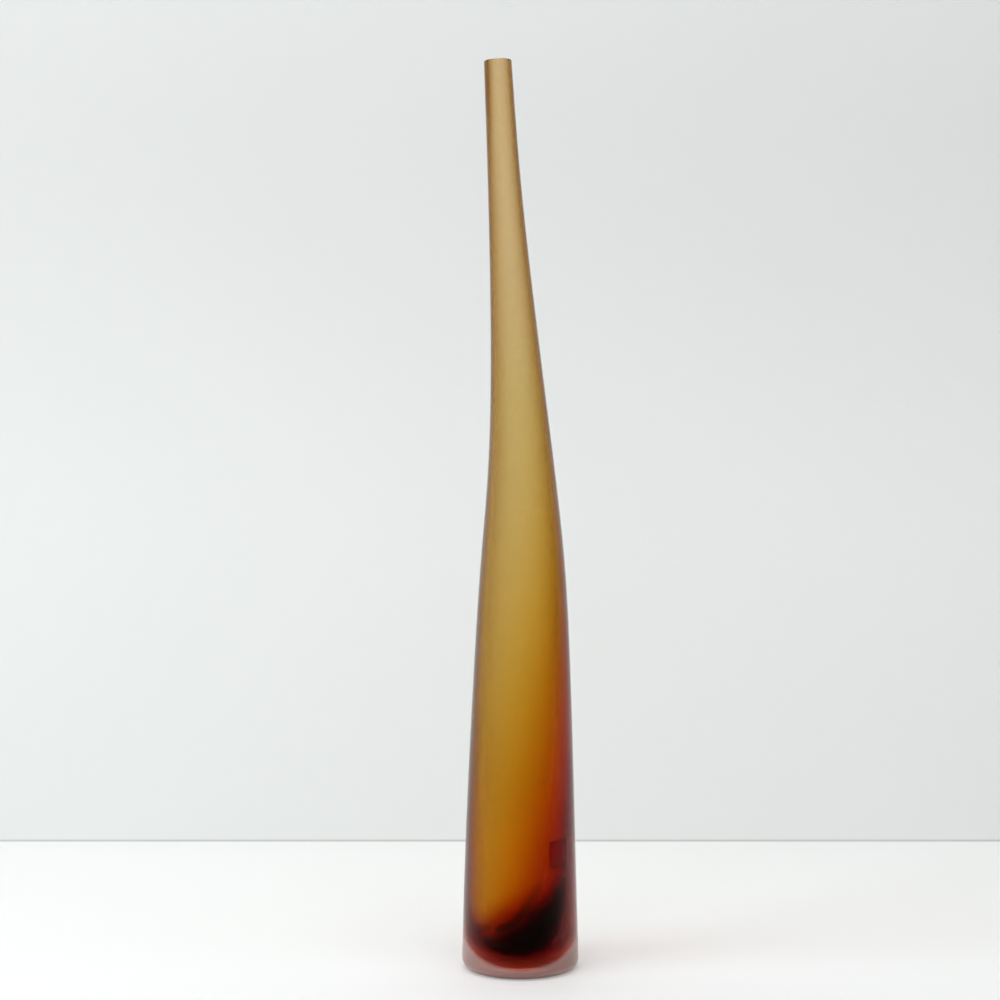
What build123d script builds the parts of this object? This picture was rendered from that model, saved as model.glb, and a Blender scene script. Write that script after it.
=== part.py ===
"""Tall leaning bottle vase in cased art glass, in millimetres.

Three melts of glass are gathered over one bubble and fused face to face: an amber bubble that lines
the whole vase and fills its heavy base, a dark aubergine pool set in that base under the hollow, and a
thick clear casing over both. The bubble blew out to the left, so the amber is thickest low on the
right. The amber is one gather, kept here as two nodes that meet face to face at LINING_FROM: the base,
and the thin lining above it. The mouth is cut and ground square to the leaning neck, the foot is
ground flat with a polished hollow in its middle, and a clear film label with nothing on it is stuck to
the front right. +Z is up and -Y is the front. The origin is the middle of the flat foot.
"""

from build123d import *
from math import cos, radians, sin
import os

# Overall sizes
HEIGHT = 680.0  # foot to the middle of the mouth
BODY_RADIUS = 44.2  # widest, just above the foot
LIP_RADIUS = 10.3  # outside of the mouth
NECK_LEAN = 17.0  # how far the mouth stands to the left of the foot

# The outline from foot to mouth: share of the height, share of the way out from the lip's radius to
# the body's, and share of the neck's lean, which is to the left where it is positive.
OUTLINE = (
    (0.00, 1.000, 0.00),
    (0.10, 0.942, 0.00),
    (0.22, 0.860, -0.03),
    (0.34, 0.758, -0.08),
    (0.45, 0.625, -0.10),
    (0.55, 0.438, -0.04),
    (0.65, 0.282, 0.15),
    (0.76, 0.153, 0.43),
    (0.88, 0.052, 0.74),
    (1.00, 0.000, 1.00),
)
MOUTH_RUN = 14.0  # how far a form runs on past the mouth

# Foot
FOOT_CORNER = 8.0  # rounding between the flat foot and the body
PONTIL_RADIUS = 14.0  # hollow ground and polished where the pontil was broken off
PONTIL_DEPTH = 1.2

# Clear casing, from the outside in to the coloured glass
CASING_AT_LIP = 2.0
CASING_AT_FOOT = 17.0
CASING_TAPER = 2.0  # power of the height left above: higher keeps the thick glass nearer the foot
CASING_FLOOR = 2.5
CORE_ROUNDING = 0.74  # corner of the coloured glass's bottom, as a share of its radius at the foot

# Amber, from the casing in to the hollow
AMBER_AT_LIP = 0.75
AMBER_AT_FOOT = 7.0
AMBER_TAPER = 4.2
LINING_FROM = 200.0  # height where the amber base ends and the thin lining starts

# The hollow
HOLLOW_SHIFT = 4.2  # how far it stands to the left at the foot
SHIFT_TAPER = 4.0
HOLLOW_FLOOR = 27.0  # height of its sloping floor over the middle of the foot
HOLLOW_ROUNDING = 0.4  # corner of its floor, as a share of its radius at the foot
FLOOR_SLOPE = 26.0  # degrees that its floor rises to the right

# Aubergine pool, set in the amber under the hollow
POOL_SKIN = 6.5  # amber between the pool's side and the casing, at the foot
POOL_FLOOR = 8.0  # amber under the pool
POOL_ROUNDING = 0.65  # corner of the pool's bottom, as a share of its radius at the foot
POOL_SHIFT = 0.8  # how far the pool stands to the right
POOL_COVER = 3.0  # amber between the pool and the hollow's floor

LIP_EDGE = 0.4  # bevel ground on the mouth's outer and inner edges

# Blank label
LABEL_WIDTH = 19.0
LABEL_HEIGHT = 20.0
LABEL_THICKNESS = 0.12
LABEL_CORNER = 2.0
LABEL_MIDDLE = 92.0  # above the foot
LABEL_TURN = 44.0  # degrees from the front towards the right


def tapered(at_lip, at_foot, taper, share):
    """A size that runs from at_foot at the foot to at_lip at the mouth."""
    return at_lip + (at_foot - at_lip) * (1 - share) ** taper


def no_wall(share):
    return 0.0


def label_proud(share):
    return -LABEL_THICKNESS


def casing_wall(share):
    return tapered(CASING_AT_LIP, CASING_AT_FOOT, CASING_TAPER, share)


def casing_and_skin(share):
    return casing_wall(share) + tapered(0.0, POOL_SKIN, 1.0, share)


def casing_and_amber(share):
    return casing_wall(share) + tapered(AMBER_AT_LIP, AMBER_AT_FOOT, AMBER_TAPER, share)


def middle_at(row):
    """The middle of the vase at a row of the outline."""
    share, _, lean = row
    return Vector(-NECK_LEAN * lean, 0, HEIGHT * share)


def section_plane(index):
    """The plane of a row's section, square to the vase's leaning middle line."""
    if index == 0:
        along = Vector(0, 0, 1)
    else:
        over = min(index + 1, len(OUTLINE) - 1)
        along = middle_at(OUTLINE[over]) - middle_at(OUTLINE[index - 1])
    return Plane(origin=middle_at(OUTLINE[index]), x_dir=(0, 1, 0), z_dir=along)


def mouth_plane():
    return section_plane(len(OUTLINE) - 1)


def form(wall, shift=0.0):
    """The outline drawn in by wall(share), with its foot moved to the left by shift, as a closed form from
    the foot's plane to past the mouth."""
    rings = []
    for index, (share, fullness, _) in enumerate(OUTLINE):
        plane = section_plane(index)
        plane.origin -= Vector(tapered(0.0, shift, SHIFT_TAPER, share), 0, 0)
        outer = LIP_RADIUS + (BODY_RADIUS - LIP_RADIUS) * fullness
        rings.append(plane * Circle(outer - wall(share)))
    rings.append(mouth_plane().offset(MOUTH_RUN) * Circle(LIP_RADIUS - wall(1.0)))
    return loft(rings)


def floor_plane(height, slope=0.0):
    """A plane over the middle of the foot at a height, which rises to the right by slope degrees."""
    return Plane(origin=(0, 0, height), z_dir=(-sin(radians(slope)), 0, cos(radians(slope))))


def with_floor(shape, plane, corner):
    """The part of a form above a plane, with its new bottom edge rounded."""
    kept = split(shape, bisect_by=plane, keep=Keep.TOP)
    bottom = kept.faces().sort_by(Axis.Z)[0]
    return fillet(bottom.edges(), corner)


def corner_of(wall, rounding):
    """The corner of a form's bottom, from the wall that it is drawn in by."""
    return rounding * (BODY_RADIUS - wall(0.0))


def below(shape, plane):
    return split(shape, bisect_by=plane, keep=Keep.BOTTOM)


def coloured_core():
    """Everything inside the casing: amber, aubergine and the hollow, on past the mouth."""
    corner = corner_of(casing_wall, CORE_ROUNDING)
    return with_floor(form(casing_wall), floor_plane(CASING_FLOOR), corner)


def hollow():
    """The blown space, on past the mouth, with the bevel at the mouth's inner edge."""
    floor = floor_plane(HOLLOW_FLOOR, FLOOR_SLOPE)
    corner = corner_of(casing_and_amber, HOLLOW_ROUNDING)
    space = with_floor(form(casing_and_amber, HOLLOW_SHIFT), floor, corner)
    bore = LIP_RADIUS - casing_and_amber(1.0)
    bevel = Cone(bore, bore + 2 * LIP_EDGE, 2 * LIP_EDGE, align=(Align.CENTER, Align.CENTER, Align.MIN))
    return space + mouth_plane().offset(-LIP_EDGE) * bevel


def pontil_hollow():
    """A shallow ball-shaped cut in the middle of the foot."""
    ball = (PONTIL_RADIUS**2 + PONTIL_DEPTH**2) / (2 * PONTIL_DEPTH)
    return Pos(0, 0, PONTIL_DEPTH - ball) * Sphere(ball)


def clear_casing():
    """The outer glass, with the rounded foot and the bevel at the mouth's outer edge."""
    block = below(form(no_wall), mouth_plane())
    foot = block.faces().sort_by(Axis.Z)[0]
    block = fillet(foot.edges(), FOOT_CORNER)
    lip = block.faces().sort_by(Axis.Z)[-1]
    block = chamfer(lip.edges(), LIP_EDGE)
    return block - coloured_core() - pontil_hollow()


def aubergine_pool():
    """A bowl of dark glass, whose top slopes as the hollow's floor does."""
    floor = floor_plane(CASING_FLOOR + POOL_FLOOR)
    corner = corner_of(casing_and_skin, POOL_ROUNDING)
    bowl = with_floor(form(casing_and_skin, -POOL_SHIFT), floor, corner)
    return below(bowl, floor_plane(HOLLOW_FLOOR, FLOOR_SLOPE).offset(-POOL_COVER))


def amber():
    """All the amber: it comes out to the casing, and holds the pool and the hollow."""
    return below(coloured_core(), mouth_plane()) - aubergine_pool() - hollow()


def amber_base():
    return below(amber(), floor_plane(LINING_FROM))


def amber_lining():
    return split(amber(), bisect_by=floor_plane(LINING_FROM), keep=Keep.TOP)


def film_label():
    """A clear film with rounded corners, bent to the casing's outer surface."""
    front = Plane(origin=(0, 0, LABEL_MIDDLE), x_dir=(1, 0, 0), z_dir=(0, -1, 0))
    patch = extrude(front * RectangleRounded(LABEL_WIDTH, LABEL_HEIGHT, LABEL_CORNER), BODY_RADIUS * 2)
    skin = form(label_proud) - form(no_wall)
    return skin & (Rot(0, 0, LABEL_TURN) * patch)


PIECES = {
    "clear_casing": clear_casing,
    "aubergine_pool": aubergine_pool,
    "amber_base": amber_base,
    "amber_lining": amber_lining,
    "film_label": film_label,
}


def build():
    os.makedirs("parts", exist_ok=True)
    for name, make in PIECES.items():
        piece = make()
        piece.label = name
        print(name, "solids", len(piece.solids()), "volume", round(piece.volume, 1))
        export_step(piece, f"parts/{name}.step")


build()
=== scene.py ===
from math import pi, radians, tan

import bpy
import numpy as np
from bpy.props import FloatProperty, FloatVectorProperty, IntProperty, PointerProperty
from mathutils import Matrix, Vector


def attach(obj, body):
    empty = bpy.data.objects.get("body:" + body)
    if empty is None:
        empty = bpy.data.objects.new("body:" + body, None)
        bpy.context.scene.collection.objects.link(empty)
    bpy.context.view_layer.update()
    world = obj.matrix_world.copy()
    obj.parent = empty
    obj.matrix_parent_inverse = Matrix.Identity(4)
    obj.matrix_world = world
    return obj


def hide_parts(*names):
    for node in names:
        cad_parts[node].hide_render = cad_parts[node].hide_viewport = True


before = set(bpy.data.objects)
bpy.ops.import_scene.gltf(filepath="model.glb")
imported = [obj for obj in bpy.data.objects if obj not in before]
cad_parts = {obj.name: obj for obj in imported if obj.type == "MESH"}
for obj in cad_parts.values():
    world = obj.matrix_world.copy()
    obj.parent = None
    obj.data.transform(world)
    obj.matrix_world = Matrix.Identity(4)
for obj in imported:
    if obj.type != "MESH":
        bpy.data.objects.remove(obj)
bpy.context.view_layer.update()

bl_info = {
    "name": "Leaning Cased Glass Vase",
    "version": (1, 0, 0),
    "blender": (4, 5, 0),
    "location": "View3D > Sidebar > Vase",
    "description": "Builds a tall satin bottle vase of clear, amber and aubergine glass on a pale stage",
    "category": "Add Mesh",
}

MM = 0.001

# The outline from foot to mouth: share of the height, share of the way out from the lip's radius to
# the body's, and share of the neck's lean, which is to the left where it is positive.
OUTLINE = np.array(
    (
        (0.00, 1.000, 0.00),
        (0.10, 0.942, 0.00),
        (0.22, 0.860, -0.03),
        (0.34, 0.758, -0.08),
        (0.45, 0.625, -0.10),
        (0.55, 0.438, -0.04),
        (0.65, 0.282, 0.15),
        (0.76, 0.153, 0.43),
        (0.88, 0.052, 0.74),
        (1.00, 0.000, 1.00),
    )
)
SEAM_GAP = 0.02 * MM  # kept between two fused faces
SEAM_LIFT_TOP = 9 * MM  # the amber's bottom is lifted by that gap below this height
SEAM_EDGE = 10  # the gap over the aubergine comes in within one part in this many of its radius
FREE, FUSED = 0.0, 1.0
LEAN_STEP = 1e-3  # share of the height to each side of a ring over which its lean is measured
LEVEL_SHARE = 0.1  # rings turn level below this share of the height
CORE_POWER = 2.3  # squareness of the core's round bottom, where 2 is an ellipse
POOL_POWER = 2.5  # squareness of the aubergine's round bottom
LIP_RUN = 6 * MM  # height under the mouth where the outer rings stand closer
CHIPS = (  # knocked out of the mouth by a ball: its middle from the mouth's middle, and its radius
    ((-2.9 * MM, -10.6 * MM, 0.9 * MM), 1.7 * MM),
    ((7.9 * MM, -7.4 * MM, 0.3 * MM), 1.1 * MM),
)

# Rings along each run of a surface, and points round the label
PONTIL_RINGS = 12
FOOT_RINGS = 10
FOOT_BEND_RINGS = 20
BODY_RINGS = 215
LIP_RUN_RINGS = 14
LIP_RINGS = 6
CORE_RINGS = 200
CORE_BOWL_RINGS = 32
POOL_BOWL_RINGS = 32
POOL_TOP_RINGS = 40
HOLLOW_BOWL_RINGS = 40
HOLLOW_RINGS = 240
AMBER_RINGS = 220
LABEL_RINGS = 14
LABEL_POINTS = 96

# Where the casing's look changes: heights over the foot, and places to the right of its middle
NECK_EDGE = (400 * MM, 600 * MM)  # the painted edge shade reaches further in above
NECK_EDGE_GROWTH = 1.3
ACROSS = (-30 * MM, 30 * MM)  # from the left side to the right
EDGE_ACROSS = (1.2, 0.85)  # strength of the painted edge shade on those sides, low down, darker at the left
EVEN_EDGE = (130 * MM, 260 * MM)  # it is the same on both sides above
FOOT_EDGE_TOP = 16 * MM
FOOT_EDGE = 0.2  # share of the painted edge shade left at the foot
BODY_TO_NECK = (380 * MM, 620 * MM)
FOOT_TINT_START = 10 * MM  # the foot's colour starts to fade
NECK_LEFT = (-27 * MM, -19 * MM)  # the left side of the mouth, where the painted edge shade is stronger
NECK_TOP = (580 * MM, 660 * MM)
NECK_LEFT_EDGE = 0.5
RIGHT_SIDE = (-10 * MM, 30 * MM)
THICK_AMBER = (120 * MM, 300 * MM)  # the amber thins out between these heights, and the painted red light at the right edge fades with it
PAINTED_AMBER_GLOW_FADE = 6 * MM
HAZE_FADE = 3 * MM
PAINTED_AMBER_GLOW_GAP = 1 * MM  # between the middle of the haze's fade and the scatter of the painted amber glow
CONTACT_TOP = 4.5 * MM  # painted contact shade: the foot's haze darkens below, down to the table
CONTACT_SHADE = 0.7

# The casing's finish
SATIN_SPREAD = 0.03  # how far its roughness strays
LIP_SATIN = (7 * MM, 4 * MM)  # under the mouth, where the satin ends
LIP_ROUGHNESS = 0.04
GROUND_RUN = (0.2 * MM, 1.2 * MM)  # the foot's ground face ends in the satin
PONTIL_EDGE = 0.4 * MM
PONTIL_TOP = 1.3 * MM  # the pontil hollow and the ground face are below this height
WETTING_EDGE = 0.3 * MM  # the label's glue is this far in from its edge

# Each noise: scale, detail, and stretch along each axis
SPECKLE = (520.0, 3.0)
SPECKLE_RANGE = (0.35, 0.65)
CLOUDS = (38.0, 3.0, (1.0, 1.0, 0.35))
CASING_WAVES = (22.0, 2.0, (1.0, 1.0, 0.25))
GRAIN = (1500.0, 2.0)
BLOWN_WAVES = (30.0, 1.0, (1.0, 1.0, 0.2))
WRINKLES = (160.0, 2.0)
NOISE_RANGE = (0.3, 0.7)

# Each bump: strength and depth
CASING_WAVE_BUMP = (0.35, 1.2 * MM)
GRAIN_BUMP = (0.25, 0.1 * MM)
BLOWN_WAVE_BUMP = (0.3, 1.0 * MM)
WRINKLE_BUMP = (0.1, 0.1 * MM)

GLASS_IOR = 1.5
FILM_IOR = 1.48
FILM_ROUGHNESS = (0.1, 0.2)
BLACK = (0, 0, 0, 1)
WHITE = (1, 1, 1, 1)

# The stage, in metres
TABLE_REACH = 6.0
WALL_HEIGHT = 4.0
WALL_SHADE = (0.25, 0.75)  # heights between which the wall is painted darker, as painted shade
WALL_GAP = (1.2 * MM, 2.4 * MM)  # top of the painted shadow in the gap over the table
TABLE_ROUGHNESS = 0.6
WALL_ROUGHNESS = 0.9
LAMPS = (  # name, place, aim and size
    ("key", (-1.9, -0.9, 1.6), (0, 0.2, 0.35), (1.4, 1.4)),
    ("fill", (1.9, -0.9, 1.6), (0, 0.2, 0.35), (1.4, 1.4)),
    ("top", (0, -1.0, 2.4), (0, 0.1, 0.2), (2.0, 1.6)),
)
CAMERA_PLACE = (-0.0153, -1.6, 0.4137)
CAMERA_TILT = radians(90 - 2.176)
CAMERA_LENS = 76.89
CAMERA_FILM = 36.0


def length(name, description, default):
    """A size given in millimetres and kept in metres."""
    return FloatProperty(
        name=name, description=description, default=default * MM, unit="LENGTH", precision=5
    )


def plain(name, description, default, low=0.0, high=100.0):
    """A bare number."""
    return FloatProperty(name=name, description=description, default=default, min=low, max=high)


def angle(name, description, default):
    """An angle given in degrees and kept in radians."""
    return FloatProperty(
        name=name, description=description, default=radians(default), subtype="ANGLE"
    )


def colour(name, description, default):
    """A linear red, green and blue."""
    return FloatVectorProperty(
        name=name, description=description, default=default, subtype="COLOR", min=0, max=1
    )


class VaseForm(bpy.types.PropertyGroup):
    """Sizes of the vase and its melts of glass"""

    height: length("Height", "Foot to the middle of the mouth", 680.0)
    body_radius: length("Body radius", "Widest radius, at the foot", 44.2)
    lip_radius: length("Lip radius", "Outside of the mouth", 10.3)
    neck_lean: length("Neck lean", "How far the mouth stands to the left of the foot", 17.0)
    foot_corner: length("Foot corner", "Rounding between the flat foot and the body", 8.0)
    pontil_radius: length("Pontil radius", "Hollow polished in the middle of the foot", 14.0)
    pontil_depth: length("Pontil depth", "Depth of that hollow", 1.2)
    casing_at_lip: length("Casing at lip", "Clear glass around the colour at the mouth", 2.0)
    casing_at_foot: length("Casing at foot", "Clear glass around the colour at the foot", 16.0)
    casing_taper: plain("Casing taper", "Power by which the casing thickens downwards", 2.0)
    casing_floor: length("Casing floor", "Clear glass under the colour", 2.2)
    core_bowl: length("Core bowl", "Rise of the coloured glass's round bottom", 24.0)
    pool_radius: length("Pool radius", "Aubergine glass under the hollow", 21.0)
    pool_floor: length("Pool floor", "Height of the aubergine's lowest point", 12.0)
    pool_left: length("Pool left", "Height of the aubergine's edge at the left", 23.0)
    pool_middle: length("Pool middle", "Height of the aubergine's edge in the middle", 27.0)
    pool_right: length("Pool right", "Height of the aubergine's edge at the right", 72.0)
    pool_cover: length("Pool cover", "Amber between the aubergine and the hollow's floor", 1.5)
    pool_shift: length("Pool shift", "How far the aubergine stands to the right", 2.4)
    amber_at_lip: length("Amber at lip", "Amber glass around the hollow at the mouth", 0.75)
    amber_at_foot: length("Amber at foot", "Amber glass around the hollow at the foot", 7.0)
    amber_taper: plain("Amber taper", "Power by which the amber thickens downwards", 4.5)
    hollow_shift: length("Hollow shift", "How far the hollow stands to the left at the foot", 4.2)
    shift_taper: plain("Shift taper", "Power by which that shift fades upwards", 4.0)
    hollow_floor: length("Hollow floor", "Height of the hollow's floor over the foot", 22.0)
    hollow_bowl: length("Hollow bowl", "Rise of that floor from its middle to its wall", 44.0)
    floor_slope: angle("Floor slope", "Rise of that floor to the right", 31)
    slope_fade: length("Slope fade", "Height at which the hollow's rings are level again", 190.0)
    lip_edge: length("Lip edge", "Bevel ground on both edges of the mouth", 0.4)
    around: IntProperty(name="Steps around", description="Faces around", default=128, min=16)


class LabelForm(bpy.types.PropertyGroup):
    """Sizes of the film label"""

    width: length("Label width", "Along the curve of the body", 19.0)
    height: length("Label height", "Up the body", 20.0)
    thickness: length("Label thickness", "Clear film", 0.12)
    corner: length("Label corner", "Radius of its four corners", 2.0)
    middle: length("Label middle", "Above the foot", 92.0)
    turn: angle("Label turn", "From the front towards the right", 44)


class GlassLook(bpy.types.PropertyGroup):
    """Colours and finishes of the glass and the film"""

    satin: plain("Satin", "Roughness of the acid satin outside", 0.2, 0, 1)
    ground: plain("Ground", "Roughness of the ground foot and mouth", 0.35, 0, 1)
    polish: plain("Polish", "Roughness of the fire polished hollow", 0.12, 0, 1)
    glint: plain("Glint", "Share of a clean glass surface's mirror gloss", 0.05, 0, 1)
    glow: plain("Glow", "Share of a lamp's light that goes straight through a surface", 0.8, 0, 1)
    clear: colour("Clear glass", "Surface colour of the casing's body", (0.775, 0.695, 0.69))
    clear_high: colour("High clear glass", "Its colour up the neck", (0.89, 0.775, 0.98))
    foot: colour("Foot", "Surface colour of the casing's thick foot", (1.0, 0.94, 0.97))
    foot_top: length("Foot top", "Height where that colour has faded out", 36.0)
    # Rim colours are painted edge shade: the casing is darker where seen edge on, and low on the right a
    # painted red stands for light through the thick amber.
    painted_edge: colour("Rim colour", "Surface colour of the casing seen edge on", (0.31, 0.16, 0.07))
    painted_edge_right: colour("Right rim", "That colour low on the right, by thick amber", (0.92, 0.12, 0.04))
    painted_edge_reach: plain("Rim reach", "How soon that colour comes as the glass turns away", 1.6)
    haze: plain("Haze", "Share of the foot's satin that scatters light", 0.9, 0, 1)
    haze_colour: colour("Haze colour", "Colour of that scatter", (0.35, 0.235, 0.215))
    haze_top: length("Haze top", "Height where it ends, seen face on", 8.4)
    haze_rise: length("Haze rise", "How much higher it goes where seen edge on", 22.5)
    # The blush is painted light: a red scatter on the clear satin that stands for the amber's glow through
    # the thick foot.
    painted_amber_glow: plain("Blush", "Share of the satin over the haze that scatters amber light", 0.2, 0, 1)
    painted_amber_glow_colour: colour("Blush colour", "Colour of the satin there", (0.85, 0.05, 0.01))
    painted_amber_glow_edge: colour("Blush edge", "That colour seen edge on", (0.50, 0.18, 0.15))
    painted_amber_glow_top: length("Blush top", "Height where it has faded out, seen face on", 25.0)
    casing: colour("Casing colour", "What the clear casing lets through", (0.84, 0.75, 0.74))
    casing_density: plain("Casing density", "Casing absorption per metre", 12.0, 0, 5000)
    mottle: plain("Mottle", "How much the satin's fine grain darkens it", 0.08, 0, 1)
    film: colour("Film", "Colour of the label's film", (0.68, 0.12, 0.12))
    amber: colour("Amber colour", "What amber glass lets through", (0.943, 0.79, 0.15))
    amber_density: plain("Amber density", "Amber absorption per metre", 1000.0, 0, 5000)
    aubergine: colour("Aubergine colour", "What aubergine lets through", (0.86, 0.74, 0.8))
    aubergine_density: plain("Aubergine density", "Its absorption per metre", 1000.0, 0, 5000)


class StageLook(bpy.types.PropertyGroup):
    """The table, the wall and the lamps"""

    floor: colour("Floor", "Colour of the table", (0.90, 0.91, 0.905))
    wall: colour("Wall", "Colour of the wall behind, low down", (0.855, 0.88, 0.87))
    # The high wall colour is painted shade: the wall is painted darker up high.
    wall_high: colour("High wall", "Its colour above the vase", (0.73, 0.75, 0.745))
    gap_shade: plain("Gap shade", "How dark the wall is just over the table", 0.26, 0, 1)
    wall_distance: length("Wall distance", "From the vase back to the wall", 478.0)
    sky: plain("Room light", "Strength of the light from all round", 0.2)
    key: plain("Key light", "Watts of the broad lamp at the left", 25.0)
    fill: plain("Fill light", "Watts of the broad lamp at the right", 5.0)
    top: plain("Top light", "Watts of the lamp above", 34.0)


def through(points, values, at):
    """A natural cubic spline through the values at the points, at every number of an array."""
    gaps = np.diff(points)
    slopes = np.diff(values) / gaps
    matrix = np.eye(len(points))
    right = np.zeros(len(points))
    for k in range(1, len(points) - 1):
        matrix[k, k - 1 : k + 2] = gaps[k - 1], 2 * (gaps[k - 1] + gaps[k]), gaps[k]
        right[k] = 6 * (slopes[k] - slopes[k - 1])
    bend = np.linalg.solve(matrix, right)
    k = np.clip(np.searchsorted(points, at) - 1, 0, len(gaps) - 1)
    after = at - points[k]
    before = points[k + 1] - at
    cubic = (bend[k] * before**3 + bend[k + 1] * after**3) / (6 * gaps[k])
    low = (values[k] / gaps[k] - bend[k] * gaps[k] / 6) * before
    high = (values[k + 1] / gaps[k] - bend[k + 1] * gaps[k] / 6) * after
    return cubic + low + high


def smoothstep(x):
    """0 below 0, 1 above 1, and 3 x squared less 2 x cubed between them."""
    x = np.clip(x, 0, 1)
    return x * x * (3 - 2 * x)


def tapered(at_lip, at_foot, taper, share):
    """at_lip + (at_foot - at_lip) (1 - share) to the power taper."""
    return at_lip + (at_foot - at_lip) * (1 - np.clip(share, 0, 1)) ** taper


def outer_radius(form, height):
    """The lip's radius plus the outline's share of what the body has over it."""
    fullness = through(OUTLINE[:, 0], OUTLINE[:, 1], height / form.height)
    return form.lip_radius + (form.body_radius - form.lip_radius) * fullness


def core_radius(form, height):
    """The outer radius less the casing."""
    share = height / form.height
    wall = tapered(form.casing_at_lip, form.casing_at_foot, form.casing_taper, share)
    return outer_radius(form, height) - wall


def hollow_radius(form, height):
    """The core's radius less the amber around the hollow."""
    share = height / form.height
    wall = tapered(form.amber_at_lip, form.amber_at_foot, form.amber_taper, share)
    return core_radius(form, height) - wall


def middle_x(form, share):
    """The middle line: the neck's lean times the outline's share of it, to the left."""
    return -form.neck_lean * through(OUTLINE[:, 0], OUTLINE[:, 2], np.clip(share, 0, 1))


def place(form, height, radius, shift=0.0, turn=None):
    """Points round the leaning middle line: (x, y, z) = middle of the ring + radius (cos a, sin a), in a
    plane square to the line. Each row of height and radius is a ring."""
    if turn is None:
        turn = np.linspace(0, 2 * pi, form.around, endpoint=False)[None, :]
    rows = (len(height), turn.shape[-1])
    height = np.broadcast_to(np.reshape(height, (rows[0], -1)), rows)
    radius = np.broadcast_to(np.reshape(radius, (rows[0], -1)), rows)
    share = np.clip(height / form.height, 0, 1)
    low = np.clip(share - LEAN_STEP, 0, 1)
    high = np.clip(share + LEAN_STEP, 0, 1)
    lean = (middle_x(form, high) - middle_x(form, low)) / ((high - low) * form.height)
    tilt = np.arctan(lean * smoothstep(share / LEVEL_SHARE))
    across = radius * np.cos(turn)
    x = middle_x(form, share) - shift + across * np.cos(tilt)
    z = height - across * np.sin(tilt)
    return np.stack((x, radius * np.sin(turn), z), axis=-1)


def foot_bend(form):
    """Heights and radii of the foot's rounded edge: up = corner (1 - cos a), and in from the body's own
    radius at that height = corner (1 - sin a)."""
    turn = np.linspace(0, pi / 2, FOOT_BEND_RINGS)
    heights = form.foot_corner * (1 - np.cos(turn))
    return heights, outer_radius(form, heights) - form.foot_corner * (1 - np.sin(turn))


def core_bowl(form):
    """Heights and radii of the core's bottom: a squared ellipse, where out^2.3 + up^2.3 = 1, times the
    core's own radius at each height."""
    turn = np.linspace(0, pi / 2, CORE_BOWL_RINGS)
    heights = form.casing_floor + form.core_bowl * (1 - np.cos(turn) ** (2 / CORE_POWER))
    return heights, core_radius(form, heights) * np.sin(turn) ** (2 / CORE_POWER)


def closed(rings, first_index):
    """Points and faces of a closed surface over rings, whose first and last rings are points."""
    count, around = rings.shape[:2]
    points = np.vstack((rings[0].mean(0), rings[1:-1].reshape(-1, 3), rings[-1].mean(0)))
    step = np.arange(around)
    after = (step + 1) % around
    ring = np.arange(count - 3)[:, None] * around + 1
    quads = np.stack((ring + step, ring + after, ring + around + after, ring + around + step), -1)
    last = len(points) - 1
    end = last - around
    start_fan = np.stack((step * 0, 1 + after, 1 + step), -1) + first_index
    end_fan = np.stack((step * 0 + last, end + step, end + after), -1) + first_index
    quads = quads.reshape(-1, 4) + first_index
    return points, [*start_fan.tolist(), *quads.tolist(), *end_fan.tolist()]


def shell(name, surfaces):
    """A mesh of one or more closed surfaces. Each is its rings, a number for each band between rings that
    says if it is fused to other glass, and whether it faces inwards, as the wall of a cavity does."""
    points, faces, seams = [], [], []
    for rings, fused, inward in surfaces:
        new_points, new_faces = closed(rings, sum(len(p) for p in points))
        points.append(new_points)
        faces.extend([face[::-1] for face in new_faces] if inward else new_faces)
        seams.append(np.repeat(np.asarray(fused, float), rings.shape[1]))
    mesh = bpy.data.meshes.new(name)
    mesh.from_pydata(np.vstack(points), [], faces)
    mesh.polygons.foreach_set("use_smooth", np.ones(len(mesh.polygons), bool))
    fused = mesh.attributes.new("fused", "FLOAT", "FACE")
    fused.data.foreach_set("value", np.concatenate(seams))
    mesh.update()
    piece = bpy.data.objects.new(name, mesh)
    bpy.context.collection.objects.link(piece)
    return piece


def finish_piece(piece, material, slot, *nodes):
    """Gives a piece its material, its body and the nodes it replaces. The slot is not used."""
    piece.data.materials.append(material)
    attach(piece, "root")
    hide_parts(*nodes)


def scoop(points, middle, size):
    """A chip: points inside a ball go straight out from its middle to its surface."""
    away = points - middle
    reach = np.linalg.norm(away, axis=-1, keepdims=True)
    return np.where(reach < size, middle + away / np.maximum(reach, 1e-9) * size, points)


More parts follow.
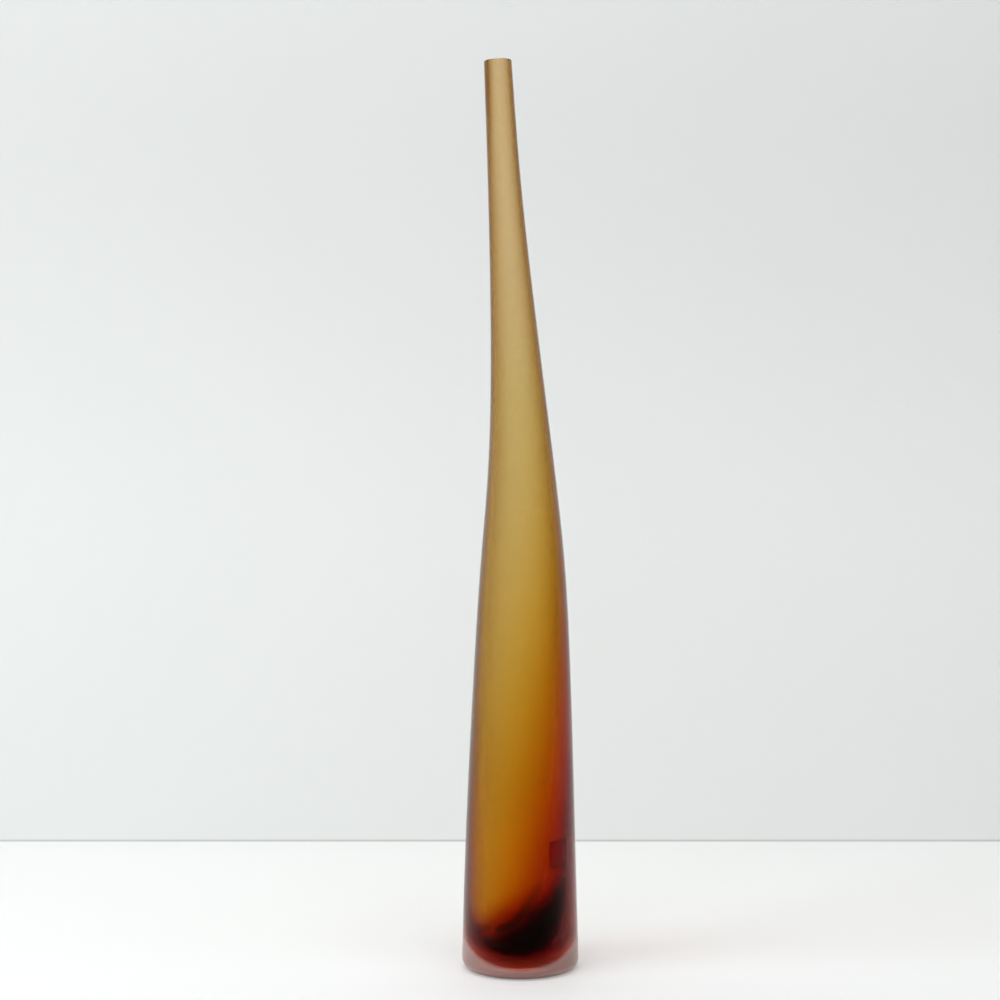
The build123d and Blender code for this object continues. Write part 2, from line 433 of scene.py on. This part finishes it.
def casing_rings(form):
    """The free surface from the pontil hollow out over the foot and up to the mouth, then the fused face
    down to the middle of the core's floor. The hollow is part of a ball."""
    ball = (form.pontil_radius**2 + form.pontil_depth**2) / (2 * form.pontil_depth)
    reach = np.linspace(0, form.pontil_radius, PONTIL_RINGS)
    foot_z, foot_r = foot_bend(form)
    flat = np.linspace(form.pontil_radius, foot_r[0], FOOT_RINGS)[1:-1]
    top = form.height
    body = np.concatenate(
        (
            np.linspace(form.foot_corner, top - LIP_RUN, BODY_RINGS)[1:],
            np.linspace(top - LIP_RUN, top - form.lip_edge, LIP_RUN_RINGS)[1:],
        )
    )
    lip_out = form.lip_radius - form.lip_edge
    lip_in = form.lip_radius - form.casing_at_lip
    lip = np.linspace(lip_out, lip_in, LIP_RINGS)
    down = np.linspace(top, form.casing_floor + form.core_bowl, CORE_RINGS)[1:]
    core_z, core_r = core_bowl(form)
    heights = (
        form.pontil_depth - ball + np.sqrt(ball**2 - reach**2),
        flat * 0,
        foot_z,
        body,
        lip * 0 + top,
        down,
        core_z[::-1][1:],
    )
    radii = (
        reach,
        flat,
        foot_r,
        outer_radius(form, body),
        lip,
        core_radius(form, down),
        core_r[::-1][1:],
    )
    rings = place(form, np.concatenate(heights), np.concatenate(radii))
    free = sum(len(h) for h in heights[:5])
    mouth = np.array((middle_x(form, 1.0), 0.0, top))
    for offset, size in CHIPS:
        rings[:free] = scoop(rings[:free], mouth + offset, size)
    fused = [FREE] * (free - 1) + [FUSED] * (len(rings) - free)
    return rings, fused


def bowl_start(form):
    """The radius of the hollow where its floor's bowl ends and its wall starts, and its shift there."""
    start = form.hollow_floor + form.hollow_bowl
    shift = tapered(0.0, form.hollow_shift, form.shift_taper, start / form.height)
    return hollow_radius(form, start), shift


def hollow_bed(form, x, y):
    """Height of the hollow's floor: half of an ellipse across, bowl (1 - sqrt(1 - share squared)) high,
    and a slope up to the right."""
    reach, shift = bowl_start(form)
    share = np.clip(np.hypot(x + shift, y) / reach, 0, 1)
    bowl = form.hollow_bowl * (1 - np.sqrt(1 - share**2))
    return form.hollow_floor + bowl + tan(form.floor_slope) * (x + shift)


def pool_rings(form, grow=0.0):
    """The aubergine from its lowest point out and up to its edge, and back over its top to the middle. Its
    bottom is a squared ellipse, where out^2.5 + up^2.5 = 1, from its floor up to its edge. Its top is
    under the hollow's floor, and under a parabola from its left over its middle to its right. All but
    its edge grows by the given gap."""
    turn = np.linspace(0, 2 * pi, form.around, endpoint=False)[None, :]
    bend = np.linspace(0, pi / 2, POOL_BOWL_RINGS)[:, None]
    inward = 1 - np.linspace(0, 1, POOL_TOP_RINGS)[:, None]
    x = form.pool_shift + inward * form.pool_radius * np.cos(turn)
    y = inward * form.pool_radius * np.sin(turn)
    under = hollow_bed(form, x, y) - form.pool_cover
    across = (x - form.pool_shift) / form.pool_radius
    rise = (form.pool_right - form.pool_left) / 2
    curl = (form.pool_right + form.pool_left) / 2 - form.pool_middle
    top = np.minimum(under, form.pool_middle + rise * across + curl * across**2)
    floor = form.pool_floor - grow
    power = 2 / POOL_POWER
    low = floor + (top[:1] - floor) * (1 - np.cos(bend) ** power)
    heights = np.concatenate((low, top[1:] + grow * smoothstep((1 - inward[1:]) * SEAM_EDGE)))
    radii = (form.pool_radius + grow) * np.concatenate((np.sin(bend) ** power, inward[1:]))
    return place(form, heights, radii, -form.pool_shift)


def hollow_rings(form):
    """The hollow from the middle of its floor to the mouth's inner bevel. The rings just over the floor
    rise to the right as it does, and level out by the height where the slope has faded."""
    out = np.sin(np.linspace(0, pi / 2, HOLLOW_BOWL_RINGS))
    start = form.hollow_floor + form.hollow_bowl
    bowl = form.hollow_floor + form.hollow_bowl * (1 - np.sqrt(1 - out**2))
    wall = np.linspace(start, form.height - form.lip_edge, HOLLOW_RINGS)[1:]
    heights = np.concatenate((bowl, wall))
    fraction = np.concatenate((out, np.ones(len(wall))))
    over = np.maximum(heights, start)
    shift = tapered(0.0, form.hollow_shift, form.shift_taper, over / form.height)
    rings = place(form, heights, hollow_radius(form, over) * fraction, shift=shift[:, None])
    level = smoothstep((form.slope_fade - heights) / (form.slope_fade - start))
    slope = tan(form.floor_slope) * level
    rings[..., 2] += slope[:, None] * (rings[..., 0] + shift[:, None])
    bore = hollow_radius(form, np.array([form.height]))
    mouth = place(form, np.array([form.height]), bore + form.lip_edge)
    return np.concatenate((rings, mouth))


def amber_surfaces(form):
    """The amber's outside up the casing, over the mouth and down the hollow, and the cavity that holds
    the aubergine."""
    low_z, low_r = core_bowl(form)
    wall = np.linspace(low_z[-1], form.height, AMBER_RINGS)[1:]
    heights = np.concatenate((low_z, wall))
    radii = np.concatenate((low_r, core_radius(form, wall)))
    lift = SEAM_GAP * (heights < SEAM_LIFT_TOP)
    outside = place(form, heights + lift, np.maximum(radii - SEAM_GAP, 0))
    rings = np.concatenate((outside, hollow_rings(form)[::-1]))
    fused = [FUSED] * (len(outside) - 1) + [FREE] * (len(rings) - len(outside))
    cavity = pool_rings(form, SEAM_GAP)
    return (rings, fused, False), (cavity, [FUSED] * (len(cavity) - 1), True)


def label_rings(form, label):
    """The film from the middle of its outer face to its edge and back to the middle of its inner face.
    Its outline is a rectangle with quarter rounds, laid on the body: along becomes an angle."""
    corner = label.corner
    turn = np.linspace(0, 2 * pi, LABEL_POINTS, endpoint=False) + pi / LABEL_POINTS
    side = label.width / 2 - corner
    rise = label.height / 2 - corner
    along = side * np.sign(np.cos(turn)) + corner * np.cos(turn)
    up = rise * np.sign(np.sin(turn)) + corner * np.sin(turn)
    share = np.linspace(0, 1, LABEL_RINGS)[:, None]
    share = np.concatenate((share, share[::-1]))
    proud = np.repeat((label.thickness, SEAM_GAP), LABEL_RINGS)[:, None]
    heights = label.middle + up[None, :] * share
    radius = outer_radius(form, heights)
    around = along[None, :] * share / radius + label.turn - pi / 2
    return place(form, heights, radius + proud, turn=around)


def opaque(base):
    """A colour with its alpha."""
    return (*base, 1)


class Nodes:
    """A short way to add nodes to a material and link them."""

    def __init__(self, name):
        self.material = bpy.data.materials.new(name)
        self.material.use_nodes = True
        self.tree = self.material.node_tree
        self.shader = self.tree.nodes["Principled BSDF"]
        self.output = self.tree.nodes["Material Output"]

    def add(self, kind, **settings):
        """A new node of a kind, with its settings."""
        node = self.tree.nodes.new(kind)
        for key, value in settings.items():
            setattr(node, key, value)
        return node

    def link(self, source, target):
        """Joins an output to an input."""
        self.tree.links.new(source, target)

    def fill(self, socket, value):
        """Links an input to a socket, or sets it to a plain value."""
        if isinstance(value, bpy.types.NodeSocket):
            self.link(value, socket)
        else:
            socket.default_value = value

    def math(self, operation, first, second=0.0):
        """The result of a sum on two numbers."""
        node = self.add("ShaderNodeMath", operation=operation)
        for socket, value in zip(node.inputs, (first, second)):
            self.fill(socket, value)
        return node.outputs["Value"]

    def spread(self, value, low, high, to_low, to_high):
        """The value's place between low and high, as a smooth step between two numbers."""
        node = self.add("ShaderNodeMapRange", interpolation_type="SMOOTHSTEP")
        for socket, item in zip(node.inputs, (value, low, high, to_low, to_high)):
            self.fill(socket, item)
        return node.outputs["Result"]

    def mix(self, factor, first, second):
        """A colour between two colours."""
        node = self.add("ShaderNodeMix", data_type="RGBA")
        for socket, item in zip(("Factor", "A", "B"), (factor, first, second)):
            self.fill(node.inputs[socket], item)
        return node.outputs["Result"]

    def place(self):
        """The x, y and z of the point on the object."""
        where = self.add("ShaderNodeTexCoord")
        parts = self.add("ShaderNodeSeparateXYZ")
        self.link(where.outputs["Object"], parts.inputs["Vector"])
        return [parts.outputs[axis] for axis in "XYZ"]

    def noise(self, scale, detail, stretch=(1.0, 1.0, 1.0)):
        """Noise on the object's own coordinates, longer where stretch is under 1."""
        where = self.add("ShaderNodeTexCoord")
        mapping = self.add("ShaderNodeMapping")
        mapping.inputs["Scale"].default_value = stretch
        self.link(where.outputs["Object"], mapping.inputs["Vector"])
        grain = self.add("ShaderNodeTexNoise")
        grain.inputs["Scale"].default_value = scale
        grain.inputs["Detail"].default_value = detail
        self.link(mapping.outputs["Vector"], grain.inputs["Vector"])
        return grain.outputs["Fac"]

    def bump(self, height, strength, distance, under=None):
        """A normal tipped by a height, over another normal where one is given."""
        node = self.add("ShaderNodeBump")
        node.inputs["Strength"].default_value = strength
        node.inputs["Distance"].default_value = distance
        self.link(height, node.inputs["Height"])
        if under:
            self.link(under, node.inputs["Normal"])
        return node.outputs["Normal"]


def glass(name, look, absorb, density):
    """Clear glass that bends light at its free faces and isn't there at all at its fused ones. What it
    takes from the light grows with the way through it."""
    nodes = Nodes(name)
    shader = nodes.shader
    shader.inputs["Base Color"].default_value = WHITE
    shader.inputs["Transmission Weight"].default_value = 1.0
    shader.inputs["IOR"].default_value = GLASS_IOR
    shader.inputs["Roughness"].default_value = look.polish
    shader.inputs["Specular Tint"].default_value = opaque([look.glint] * 3)
    fused = nodes.add("ShaderNodeAttribute", attribute_name="fused")
    free = nodes.math("SUBTRACT", 1.0, fused.outputs["Fac"])
    path = nodes.add("ShaderNodeLightPath")
    passed = nodes.math("MULTIPLY", path.outputs["Is Shadow Ray"], look.glow)
    held = nodes.math("SUBTRACT", 1.0, passed)
    nodes.link(nodes.math("MULTIPLY", free, held), shader.inputs["Alpha"])
    volume = nodes.add("ShaderNodeVolumeAbsorption")
    volume.inputs["Color"].default_value = opaque(absorb)
    volume.inputs["Density"].default_value = density
    nodes.link(volume.outputs["Volume"], nodes.output.inputs["Volume"])
    return nodes


def satin_skin(nodes, look, place, reach):
    """The satin's colour: that of the foot, the body or the neck seen face on, and painted edge shade
    where it is seen edge on, red low on the right as painted light of the thick amber, under a fine dark
    speckle."""
    x, _, z = place
    uneven = nodes.spread(x, *ACROSS, *EDGE_ACROSS)
    side = nodes.spread(z, *EVEN_EDGE, uneven, 1.0)
    low_edge = nodes.spread(z, 0.0, FOOT_EDGE_TOP, FOOT_EDGE, 1.0)
    edge = nodes.math("MULTIPLY", nodes.math("MULTIPLY", reach, side), low_edge)
    neck_left = nodes.spread(z, *NECK_TOP, 0.0, NECK_LEFT_EDGE)
    edge = nodes.math("ADD", edge, nodes.spread(x, *NECK_LEFT, neck_left, 0.0))
    edge = nodes.math("MINIMUM", 1.0, edge)
    high = nodes.spread(z, *BODY_TO_NECK, 0.0, 1.0)
    body = nodes.mix(high, opaque(look.clear), opaque(look.clear_high))
    over_foot = nodes.spread(z, FOOT_TINT_START, look.foot_top, 0.0, 1.0)
    face = nodes.mix(over_foot, opaque(look.foot), body)
    right = nodes.spread(x, *RIGHT_SIDE, 0.0, nodes.spread(z, *THICK_AMBER, 1.0, 0.0))
    # painted edge shade, turning to painted red light of the thick amber low on the right
    painted_edge = nodes.mix(right, opaque(look.painted_edge), opaque(look.painted_edge_right))
    speckle = nodes.spread(nodes.noise(*SPECKLE), *SPECKLE_RANGE, 0.0, look.mottle)
    return nodes.mix(speckle, nodes.mix(edge, face, painted_edge), BLACK)


def satin_colour(nodes, look, place, facing):
    """The satin's colour, and the share of it that scatters light. Near the foot it scatters light: a
    pinkish haze at the bottom, painted darker down to the table as contact shade, and over that a red band
    of painted light that stands for the amber's glow through the thick foot. Both go up the vase where
    they are seen edge on, and are on its outer side only."""
    z = place[2]
    # how far in the painted edge shade reaches, further up the neck
    growth = nodes.spread(z, *NECK_EDGE, look.painted_edge_reach, NECK_EDGE_GROWTH * look.painted_edge_reach)
    reach = nodes.math("MINIMUM", 1.0, nodes.math("MULTIPLY", facing, growth))
    skin = satin_skin(nodes, look, place, reach)
    inside = nodes.add("ShaderNodeNewGeometry").outputs["Backfacing"]
    outside = nodes.math("SUBTRACT", 1.0, inside)
    level = nodes.math("SUBTRACT", z, nodes.math("MULTIPLY", facing, look.haze_rise))
    # painted light: a red band over the haze for the amber's glow through the foot
    painted_amber_glow_end = look.painted_amber_glow_top - PAINTED_AMBER_GLOW_FADE
    painted_amber_glow_mask = nodes.spread(level, painted_amber_glow_end, look.painted_amber_glow_top, outside, 0.0)
    painted_amber_glow = nodes.mix(reach, opaque(look.painted_amber_glow_colour), opaque(look.painted_amber_glow_edge))
    skin = nodes.mix(painted_amber_glow_mask, skin, painted_amber_glow)
    most = nodes.math("MULTIPLY", outside, look.haze)
    haze_run = (look.haze_top - HAZE_FADE, look.haze_top + HAZE_FADE)
    haze = nodes.spread(level, *haze_run, most, 0.0)
    # painted contact shade: the haze darkens towards the table
    painted_contact_shade = nodes.spread(z, 0.0, CONTACT_TOP, CONTACT_SHADE, 0.0)
    skin = nodes.mix(haze, skin, nodes.mix(painted_contact_shade, opaque(look.haze_colour), BLACK))
    most = nodes.math("MULTIPLY", outside, look.painted_amber_glow)
    lit = nodes.spread(level, look.haze_top + PAINTED_AMBER_GLOW_GAP, painted_amber_glow_end, most, 0.0)
    return skin, nodes.math("MAXIMUM", haze, lit)


def satin_roughness(nodes, look, form, label, place):
    """Cloudy satin that ends just under the mouth, ground glass on the flat of the foot, and polished
    glass in the pontil hollow and under the label's glue."""
    x, y, z = place
    wide = nodes.math("ADD", nodes.math("MULTIPLY", x, x), nodes.math("MULTIPLY", y, y))
    wide = nodes.math("SQRT", wide)
    cloudy = (look.satin - SATIN_SPREAD, look.satin + SATIN_SPREAD)
    satin = nodes.spread(nodes.noise(*CLOUDS), *NOISE_RANGE, *cloudy)
    lip_run = (form.height - LIP_SATIN[0], form.height - LIP_SATIN[1])
    satin = nodes.spread(z, *lip_run, satin, LIP_ROUGHNESS)
    ground = nodes.spread(z, *GROUND_RUN, look.ground, satin)
    pontil_run = (form.pontil_radius - PONTIL_EDGE, form.pontil_radius)
    hollow = nodes.spread(wide, *pontil_run, look.polish, ground)
    rough = nodes.add("ShaderNodeMix", data_type="FLOAT")
    nodes.link(nodes.math("LESS_THAN", z, PONTIL_TOP), rough.inputs["Factor"])
    nodes.link(satin, rough.inputs["A"])
    nodes.link(hollow, rough.inputs["B"])
    turn = nodes.math("ARCTAN2", x, nodes.math("MULTIPLY", y, -1.0))
    off = nodes.math("ABSOLUTE", nodes.math("SUBTRACT", turn, label.turn))
    body_wide = float(outer_radius(form, np.array([label.middle]))[0])
    beside = nodes.math("SUBTRACT", nodes.math("MULTIPLY", off, body_wide), label.width / 2)
    off = nodes.math("ABSOLUTE", nodes.math("SUBTRACT", z, label.middle))
    over = nodes.math("SUBTRACT", off, label.height / 2)
    past = nodes.math("MAXIMUM", beside, over)
    return nodes.spread(past, -WETTING_EDGE, 0.0, look.polish, rough.outputs["Result"])


def satin_glass(look, form, label):
    """The casing: acid satin outside, ground foot and mouth, and a polished pontil hollow."""
    nodes = glass("satin clear glass", look, look.casing, look.casing_density)
    shader = nodes.shader
    place = nodes.place()
    facing = nodes.add("ShaderNodeLayerWeight").outputs["Facing"]
    skin, scatter = satin_colour(nodes, look, place, facing)
    nodes.link(skin, shader.inputs["Base Color"])
    nodes.link(nodes.math("SUBTRACT", 1.0, scatter), shader.inputs["Transmission Weight"])
    rough = satin_roughness(nodes, look, form, label, place)
    nodes.link(rough, shader.inputs["Roughness"])
    waves = nodes.bump(nodes.noise(*CASING_WAVES), *CASING_WAVE_BUMP)
    grain = nodes.bump(nodes.noise(*GRAIN), *GRAIN_BUMP, waves)
    nodes.link(grain, shader.inputs["Normal"])
    return nodes.material


def blown_glass(name, look, absorb, density):
    """A coloured melt, with the long soft waves that blowing leaves in the hollow."""
    nodes = glass(name, look, absorb, density)
    waves = nodes.bump(nodes.noise(*BLOWN_WAVES), *BLOWN_WAVE_BUMP)
    nodes.link(waves, nodes.shader.inputs["Normal"])
    return nodes.material


def clear_film(look):
    """The label's film: tinted, glossy and a little wrinkled."""
    nodes = Nodes("clear film")
    shader = nodes.shader
    shader.inputs["Base Color"].default_value = opaque(look.film)
    shader.inputs["Transmission Weight"].default_value = 1.0
    shader.inputs["IOR"].default_value = FILM_IOR
    shader.inputs["Specular Tint"].default_value = opaque([look.glint] * 3)
    wrinkles = nodes.noise(*WRINKLES)
    nodes.link(nodes.spread(wrinkles, *NOISE_RANGE, *FILM_ROUGHNESS), shader.inputs["Roughness"])
    nodes.link(nodes.bump(wrinkles, *WRINKLE_BUMP), shader.inputs["Normal"])
    return nodes.material


class MakeCasing(bpy.types.Operator):
    """Makes the clear outer glass, with its ground foot and mouth"""

    bl_idname = "vase.make_casing"
    bl_label = "Make casing"

    def execute(self, context):
        form, look = context.scene.vase_form, context.scene.glass_look
        piece = shell("clear_casing_glass", [(*casing_rings(form), False)])
        material = satin_glass(look, form, context.scene.label_form)
        finish_piece(piece, material, "satin_clear_glass", "clear_casing")
        return {"FINISHED"}


class MakePool(bpy.types.Operator):
    """Makes the dark aubergine glass under the hollow"""

    bl_idname = "vase.make_pool"
    bl_label = "Make pool"

    def execute(self, context):
        form, look = context.scene.vase_form, context.scene.glass_look
        rings = pool_rings(form)
        piece = shell("aubergine_pool_glass", [(rings, [FUSED] * (len(rings) - 1), False)])
        material = blown_glass("aubergine glass", look, look.aubergine, look.aubergine_density)
        finish_piece(piece, material, "aubergine_glass", "aubergine_pool")
        return {"FINISHED"}


class MakeAmber(bpy.types.Operator):
    """Makes the amber glass around the hollow and the pool"""

    bl_idname = "vase.make_amber"
    bl_label = "Make amber"

    def execute(self, context):
        form, look = context.scene.vase_form, context.scene.glass_look
        piece = shell("amber_bubble_glass", amber_surfaces(form))
        material = blown_glass("amber glass", look, look.amber, look.amber_density)
        finish_piece(piece, material, "amber_glass", "amber_base", "amber_lining")
        return {"FINISHED"}


class MakeLabel(bpy.types.Operator):
    """Makes the blank clear film at the front right"""

    bl_idname = "vase.make_label"
    bl_label = "Make label"

    def execute(self, context):
        scene = context.scene
        rings = label_rings(scene.vase_form, scene.label_form)
        piece = shell("film_label_clear", [(rings, [FREE] * (len(rings) - 1), True)])
        finish_piece(piece, clear_film(scene.glass_look), "clear_film", "film_label")
        return {"FINISHED"}


def plain_plane(name, corners, material):
    """A flat of the stage between four corners."""
    mesh = bpy.data.meshes.new(name)
    mesh.from_pydata(corners, [], [(0, 1, 2, 3)])
    mesh.materials.append(material)
    plane = bpy.data.objects.new(name, mesh)
    bpy.context.collection.objects.link(plane)
    return plane


def paint(name, base, rough):
    """Matt paint of one colour."""
    nodes = Nodes(name)
    nodes.shader.inputs["Base Color"].default_value = opaque(base)
    nodes.shader.inputs["Roughness"].default_value = rough
    return nodes


def wall_paint(look):
    """Matt paint that is a little darker high up as painted shade, with a painted shadow in the gap over
    the table, and isn't there from behind."""
    nodes = paint("wall paint", look.wall, WALL_ROUGHNESS)
    z = nodes.place()[2]
    up = nodes.spread(z, *WALL_SHADE, 0.0, 1.0)
    painted_shade_tone = nodes.mix(up, opaque(look.wall), opaque(look.wall_high))
    gap = nodes.spread(z, *WALL_GAP, look.gap_shade, 0.0)
    nodes.link(nodes.mix(gap, painted_shade_tone, BLACK), nodes.shader.inputs["Base Color"])
    geometry = nodes.add("ShaderNodeNewGeometry")
    clear = nodes.add("ShaderNodeBsdfTransparent")
    mix = nodes.add("ShaderNodeMixShader")
    nodes.link(geometry.outputs["Backfacing"], mix.inputs["Fac"])
    nodes.link(nodes.shader.outputs["BSDF"], mix.inputs[1])
    nodes.link(clear.outputs["BSDF"], mix.inputs[2])
    nodes.link(mix.outputs["Shader"], nodes.output.inputs["Surface"])
    return nodes.material


def lamp(name, place_at, aim, size, watts):
    """A broad lamp at a place, turned to its aim."""
    data = bpy.data.lights.new(name, "AREA")
    data.shape = "RECTANGLE"
    data.size, data.size_y = size
    data.energy = watts
    light = bpy.data.objects.new(name, data)
    light.location = place_at
    light.rotation_euler = (Vector(aim) - Vector(place_at)).to_track_quat("-Z", "Y").to_euler()
    bpy.context.collection.objects.link(light)


class MakeStage(bpy.types.Operator):
    """Makes the table, the wall, the lamps and the camera"""

    bl_idname = "vase.make_stage"
    bl_label = "Make stage"

    def execute(self, context):
        look = context.scene.stage_look
        far = TABLE_REACH
        back = look.wall_distance
        up = WALL_HEIGHT
        table = ((-far, -far, 0), (far, -far, 0), (far, far, 0), (-far, far, 0))
        table_paint = paint("table paint", look.floor, TABLE_ROUGHNESS)
        plain_plane("table", table, table_paint.material)
        wall = ((-far, back, 0), (far, back, 0), (far, back, up), (-far, back, up))
        plain_plane("wall", wall, wall_paint(look))
        world = bpy.data.worlds.new("room")
        world.use_nodes = True
        background = world.node_tree.nodes["Background"]
        background.inputs["Color"].default_value = WHITE
        background.inputs["Strength"].default_value = look.sky
        context.scene.world = world
        for name, place_at, aim, size in LAMPS:
            lamp(name, place_at, aim, size, getattr(look, name))
        data = bpy.data.cameras.new("camera")
        data.sensor_width = CAMERA_FILM
        data.lens = CAMERA_LENS
        camera = bpy.data.objects.new("camera", data)
        camera.location = CAMERA_PLACE
        camera.rotation_euler = (CAMERA_TILT, 0, 0)
        context.collection.objects.link(camera)
        context.scene.camera = camera
        context.scene.view_settings.view_transform = "Standard"
        context.scene.cycles.transparent_max_bounces = 32
        context.scene.cycles.transmission_bounces = 16
        context.scene.cycles.max_bounces = 24
        return {"FINISHED"}


MAKERS = (MakeStage, MakeCasing, MakePool, MakeAmber, MakeLabel)


class VasePanel(bpy.types.Panel):
    """Lists the sizes and looks of the vase and the stage, and the operators that make them"""

    bl_idname = "VIEW3D_PT_cased_vase"
    bl_label = "Cased vase"
    bl_space_type = "VIEW_3D"
    bl_region_type = "UI"
    bl_category = "Vase"

    def draw(self, context):
        for group in GROUPS:
            settings = getattr(context.scene, group)
            column = self.layout.column(align=True)
            for name in type(settings).__annotations__:
                column.prop(settings, name)
        for maker in MAKERS:
            self.layout.operator(maker.bl_idname)


GROUPS = {
    "vase_form": VaseForm,
    "label_form": LabelForm,
    "glass_look": GlassLook,
    "stage_look": StageLook,
}
CLASSES = (*GROUPS.values(), *MAKERS, VasePanel)


def register():
    """Registers the classes, and hangs each group of settings on the scene."""
    for item in CLASSES:
        bpy.utils.register_class(item)
    for name, group in GROUPS.items():
        setattr(bpy.types.Scene, name, PointerProperty(type=group))


def unregister():
    """Undoes register."""
    for name in GROUPS:
        delattr(bpy.types.Scene, name)
    for item in reversed(CLASSES):
        bpy.utils.unregister_class(item)


def main():
    """Registers the classes and makes the whole scene."""
    register()
    bpy.ops.vase.make_stage()
    bpy.ops.vase.make_casing()
    bpy.ops.vase.make_pool()
    bpy.ops.vase.make_amber()
    bpy.ops.vase.make_label()


if __name__ == "__main__":
    main()
